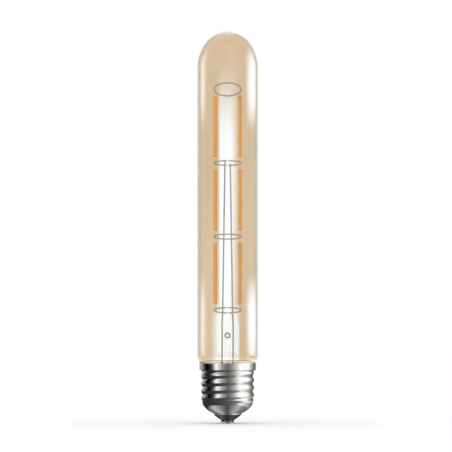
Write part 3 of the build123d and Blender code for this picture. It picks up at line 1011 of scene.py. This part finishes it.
def seenFlag(g):  # 1 for what the camera sees, also in mirrors and through glass
    path = g.node("LightPath")
    seen = path.other("Is Camera Ray")
    for name in ("Is Glossy Ray", "Is Transmission Ray"):
        seen = g.sum("MAXIMUM", seen, path.other(name))
    return seen


def makeWorld():
    world = bpy.data.worlds.new("studio")
    world.use_nodes = True
    world.node_tree.nodes.clear()
    g = Shade(world.node_tree)
    level = studio["soft"] + seenFlag(g) * (1 - studio["soft"])
    sky = g.node("Background", None, {"Color": (1, 1, 1, 1), "Strength": level})
    g.node("OutputWorld", None, {"Surface": sky})
    bpy.context.scene.world = world


def stagePiece(name, bm, material):
    obj = meshObject(name, bm, material)
    return obj


def makeFloor():
    material, g = startMaterial("floor")
    seen = seenFlag(g)
    diffuse = g.node("BsdfDiffuse", None, {"Color": (*studio["floorColour"], 1)})
    glow = g.node("Emission", None, {"Color": (1, 1, 1, 1), "Strength": seen * studio["floorGlow"]})
    surface = g.node("AddShader", None, {0: diffuse, 1: glow})
    g.node("OutputMaterial", None, {"Surface": surface})
    bm = bmesh.new()
    bmesh.ops.create_grid(bm, x_segments=1, y_segments=1, size=studio["floor"])
    return stagePiece("floor", bm, material)


def cardPiece(name, bm, material, through=False, mirrored=True):  # seen in reflections or through glass only
    obj = stagePiece(name, bm, material)
    obj.visible_camera = obj.visible_diffuse = obj.visible_shadow = obj.visible_volume_scatter = False
    obj.visible_glossy = mirrored
    obj.visible_transmission = through
    material.cycles.emission_sampling = "NONE"


def glowing(g, colour):  # light that stops at the first dull surface
    first = g.node("LightPath").other("Diffuse Depth") < 0.5
    light = g.node("Emission", None, {"Color": colour, "Strength": first})
    g.node("OutputMaterial", None, {"Surface": light})


def placeOf(g):  # azimuth in degrees from the front, place across, distance from the axis, and height
    x = g.node("SeparateXYZ", None, {0: objectPlace(g)}, "X")
    y, z = x.other("Y"), x.other("Z")
    azimuth = g.sum("ARCTAN2", x, 0 - y) * math.degrees(1)
    away = g.sum("POWER", x * x + y * y, 0.5)
    return {"azimuth": azimuth, "across": x, "away": away, "height": z}


def windowed(value, span, soft):
    return value.step(span[0], span[0] + soft[0]) * (1 - value.step(span[1] - soft[1], span[1]))


def bandLight(g, azimuth, bands):
    stops = [((angle + 180) / 360, (level,) * 3) for angle, level in bands]
    return g.node("ValToRGB", {"stops": stops}, {"Fac": azimuth / 360 + 0.5})


def curvedCard(name, card):
    material, g = startMaterial(name)
    place = placeOf(g)
    wide = windowed(place["azimuth"], card["azimuth"], card["soft"])
    tall = windowed(place["height"], card["height"], card["softHeight"])
    glowing(g, (wide * tall).blend((1, 1, 1), card["level"]))
    start, end = (math.radians(a) for a in card["azimuth"])
    foot = Vector((math.sin(start), -math.cos(start), 0)) * card["radius"]
    bm = bmesh.new()
    low = bm.verts.new(foot + Vector((0, 0, card["height"][0])))
    high = bmesh.ops.extrude_vert_indiv(bm, verts=[low])["verts"][0]
    high.co.z = card["height"][1]
    bmesh.ops.spin(
        bm, geom=bm.verts[:] + bm.edges[:], cent=(0, 0, 0), axis=(0, 0, 1), angle=end - start,
        steps=round(math.degrees(end - start) / studio["cardStep"]),
    )
    cardPiece(name, bm, material, card.get("through", False))


def makeBacklight():
    material, g = startMaterial("backlight")
    place = placeOf(g)
    windows = backlight["windows"]
    parts = []
    for window in windows:
        wide = windowed(place["across"], window["across"], window["softSides"])
        parts.append(wide * windowed(place["height"], window["height"], window["softEnds"]))
    glowing(g, g.sum("MAXIMUM", *parts).blend((1, 1, 1), backlight["colour"]))
    left = min(window["across"][0] for window in windows)
    right = max(window["across"][1] for window in windows)
    low = min(window["height"][0] for window in windows)
    high = max(window["height"][1] for window in windows)
    stand = Matrix.Translation(((left + right) / 2, backlight["behind"], (low + high) / 2))
    upright = Matrix.Rotation(math.pi / 2, 4, "X")
    half = Matrix.Diagonal(((right - left) / 2, (high - low) / 2, 1, 1))
    bm = bmesh.new()
    bmesh.ops.create_grid(bm, x_segments=1, y_segments=1, size=1, matrix=stand @ upright @ half)
    cardPiece("backlight", bm, material, through=True, mirrored=False)


def makeCollar():  # a flat ring over the tent, for the glass shoulder
    material, g = startMaterial("collar")
    place = placeOf(g)
    near = 1 - place["away"].step(*collar["reach"])
    glowing(g, near.blend(collar["rest"], bandLight(g, place["azimuth"], collar["bands"])))
    ring = Outline(*collar["inner"]).line(*collar["outer"], runs=4)
    cardPiece("collar", ring.turned(studio["columns"]), material)


def makeTent():  # a shallow tent that the cap alone reflects, with a shelf under the thread
    material, g = startMaterial("cap tent")
    place = placeOf(g)
    away, height = place["away"], place["height"]
    onFloor = height < 2 * tent["floorZ"]  # these limits leave room for rounding
    onShelf = (away < 1.1 * tent["shelfReach"]) * (height < 1.01 * tent["shelfZ"])
    pan = onFloor * (1 - away.step(*tent["bowlReach"]))
    around, under, bowl = (
        bandLight(g, place["azimuth"], tent[name]) for name in ("bands", "underBands", "bowlBands")
    )
    glowing(g, g.sum("MAXIMUM", onFloor, onShelf).blend(around, pan.blend(under, bowl)))
    section = Outline(0, tent["floorZ"]).line(tent["radius"], tent["floorZ"], runs=2)
    section.line(tent["radius"], tent["wallTop"]).line(tent["hoodRadius"], tent["hoodTop"])
    cardPiece("cap_tent", section.turned(studio["columns"]), material)
    shelf = Outline(tent["shelfRadius"], tent["shelfZ"]).line(tent["shelfReach"], tent["shelfZ"])
    cardPiece("cap_shelf", shelf.turned(studio["columns"]), material)


def makeCamera():
    camera = bpy.data.cameras.new("camera")
    camera.sensor_width = studio["sensor"]
    camera.sensor_fit = "HORIZONTAL"
    camera.lens = studio["sensor"] * studio["distance"] / studio["view"]
    camera.clip_start = studio["clip"]
    obj = bpy.data.objects.new("camera", camera)
    obj.location = (studio["aimX"], -studio["distance"], studio["aimZ"])
    obj.rotation_euler = (math.pi / 2, 0, 0)
    bpy.context.scene.collection.objects.link(obj)
    bpy.context.scene.camera = obj


def areaLamp(name, energy, place, colour=(1, 1, 1)):
    lamp = bpy.data.lights.new(name, "AREA")
    lamp.size = studio["keySize"]
    lamp.energy = energy
    lamp.color = colour
    obj = bpy.data.objects.new(name, lamp)
    obj.location = place
    obj.rotation_euler = (Vector(studio["lampAim"]) - obj.location).to_track_quat("-Z", "Y").to_euler()
    obj.visible_glossy = obj.visible_transmission = False
    bpy.context.scene.collection.objects.link(obj)
    return obj


def makeKeys(floor):  # lamps in front and behind, and one that lights the cement in the neck alone
    front = areaLamp("key", studio["key"], studio["keyPlace"])
    behind = areaLamp("back key", studio["backKey"], studio["backPlace"])
    neck = areaLamp("neck key", studio["neckKey"], studio["keyPlace"], studio["neckColour"])
    links = ((front, floor, "EXCLUDE"), (behind, floor, "EXCLUDE"), (neck, cement, "INCLUDE"))
    for lamp, piece, state in links:
        lit = bpy.data.collections.new(lamp.name + " light")
        lit.objects.link(piece)
        lit.collection_objects[0].light_linking.link_state = state
        lamp.light_linking.receiver_collection = lit


makeWorld()
makeKeys(makeFloor())
for name, card in cards.items():
    curvedCard(name, card)
makeBacklight()
makeCollar()
makeTent()
makeCamera()
bpy.context.scene.view_settings.view_transform = "Standard"
print("studio set")
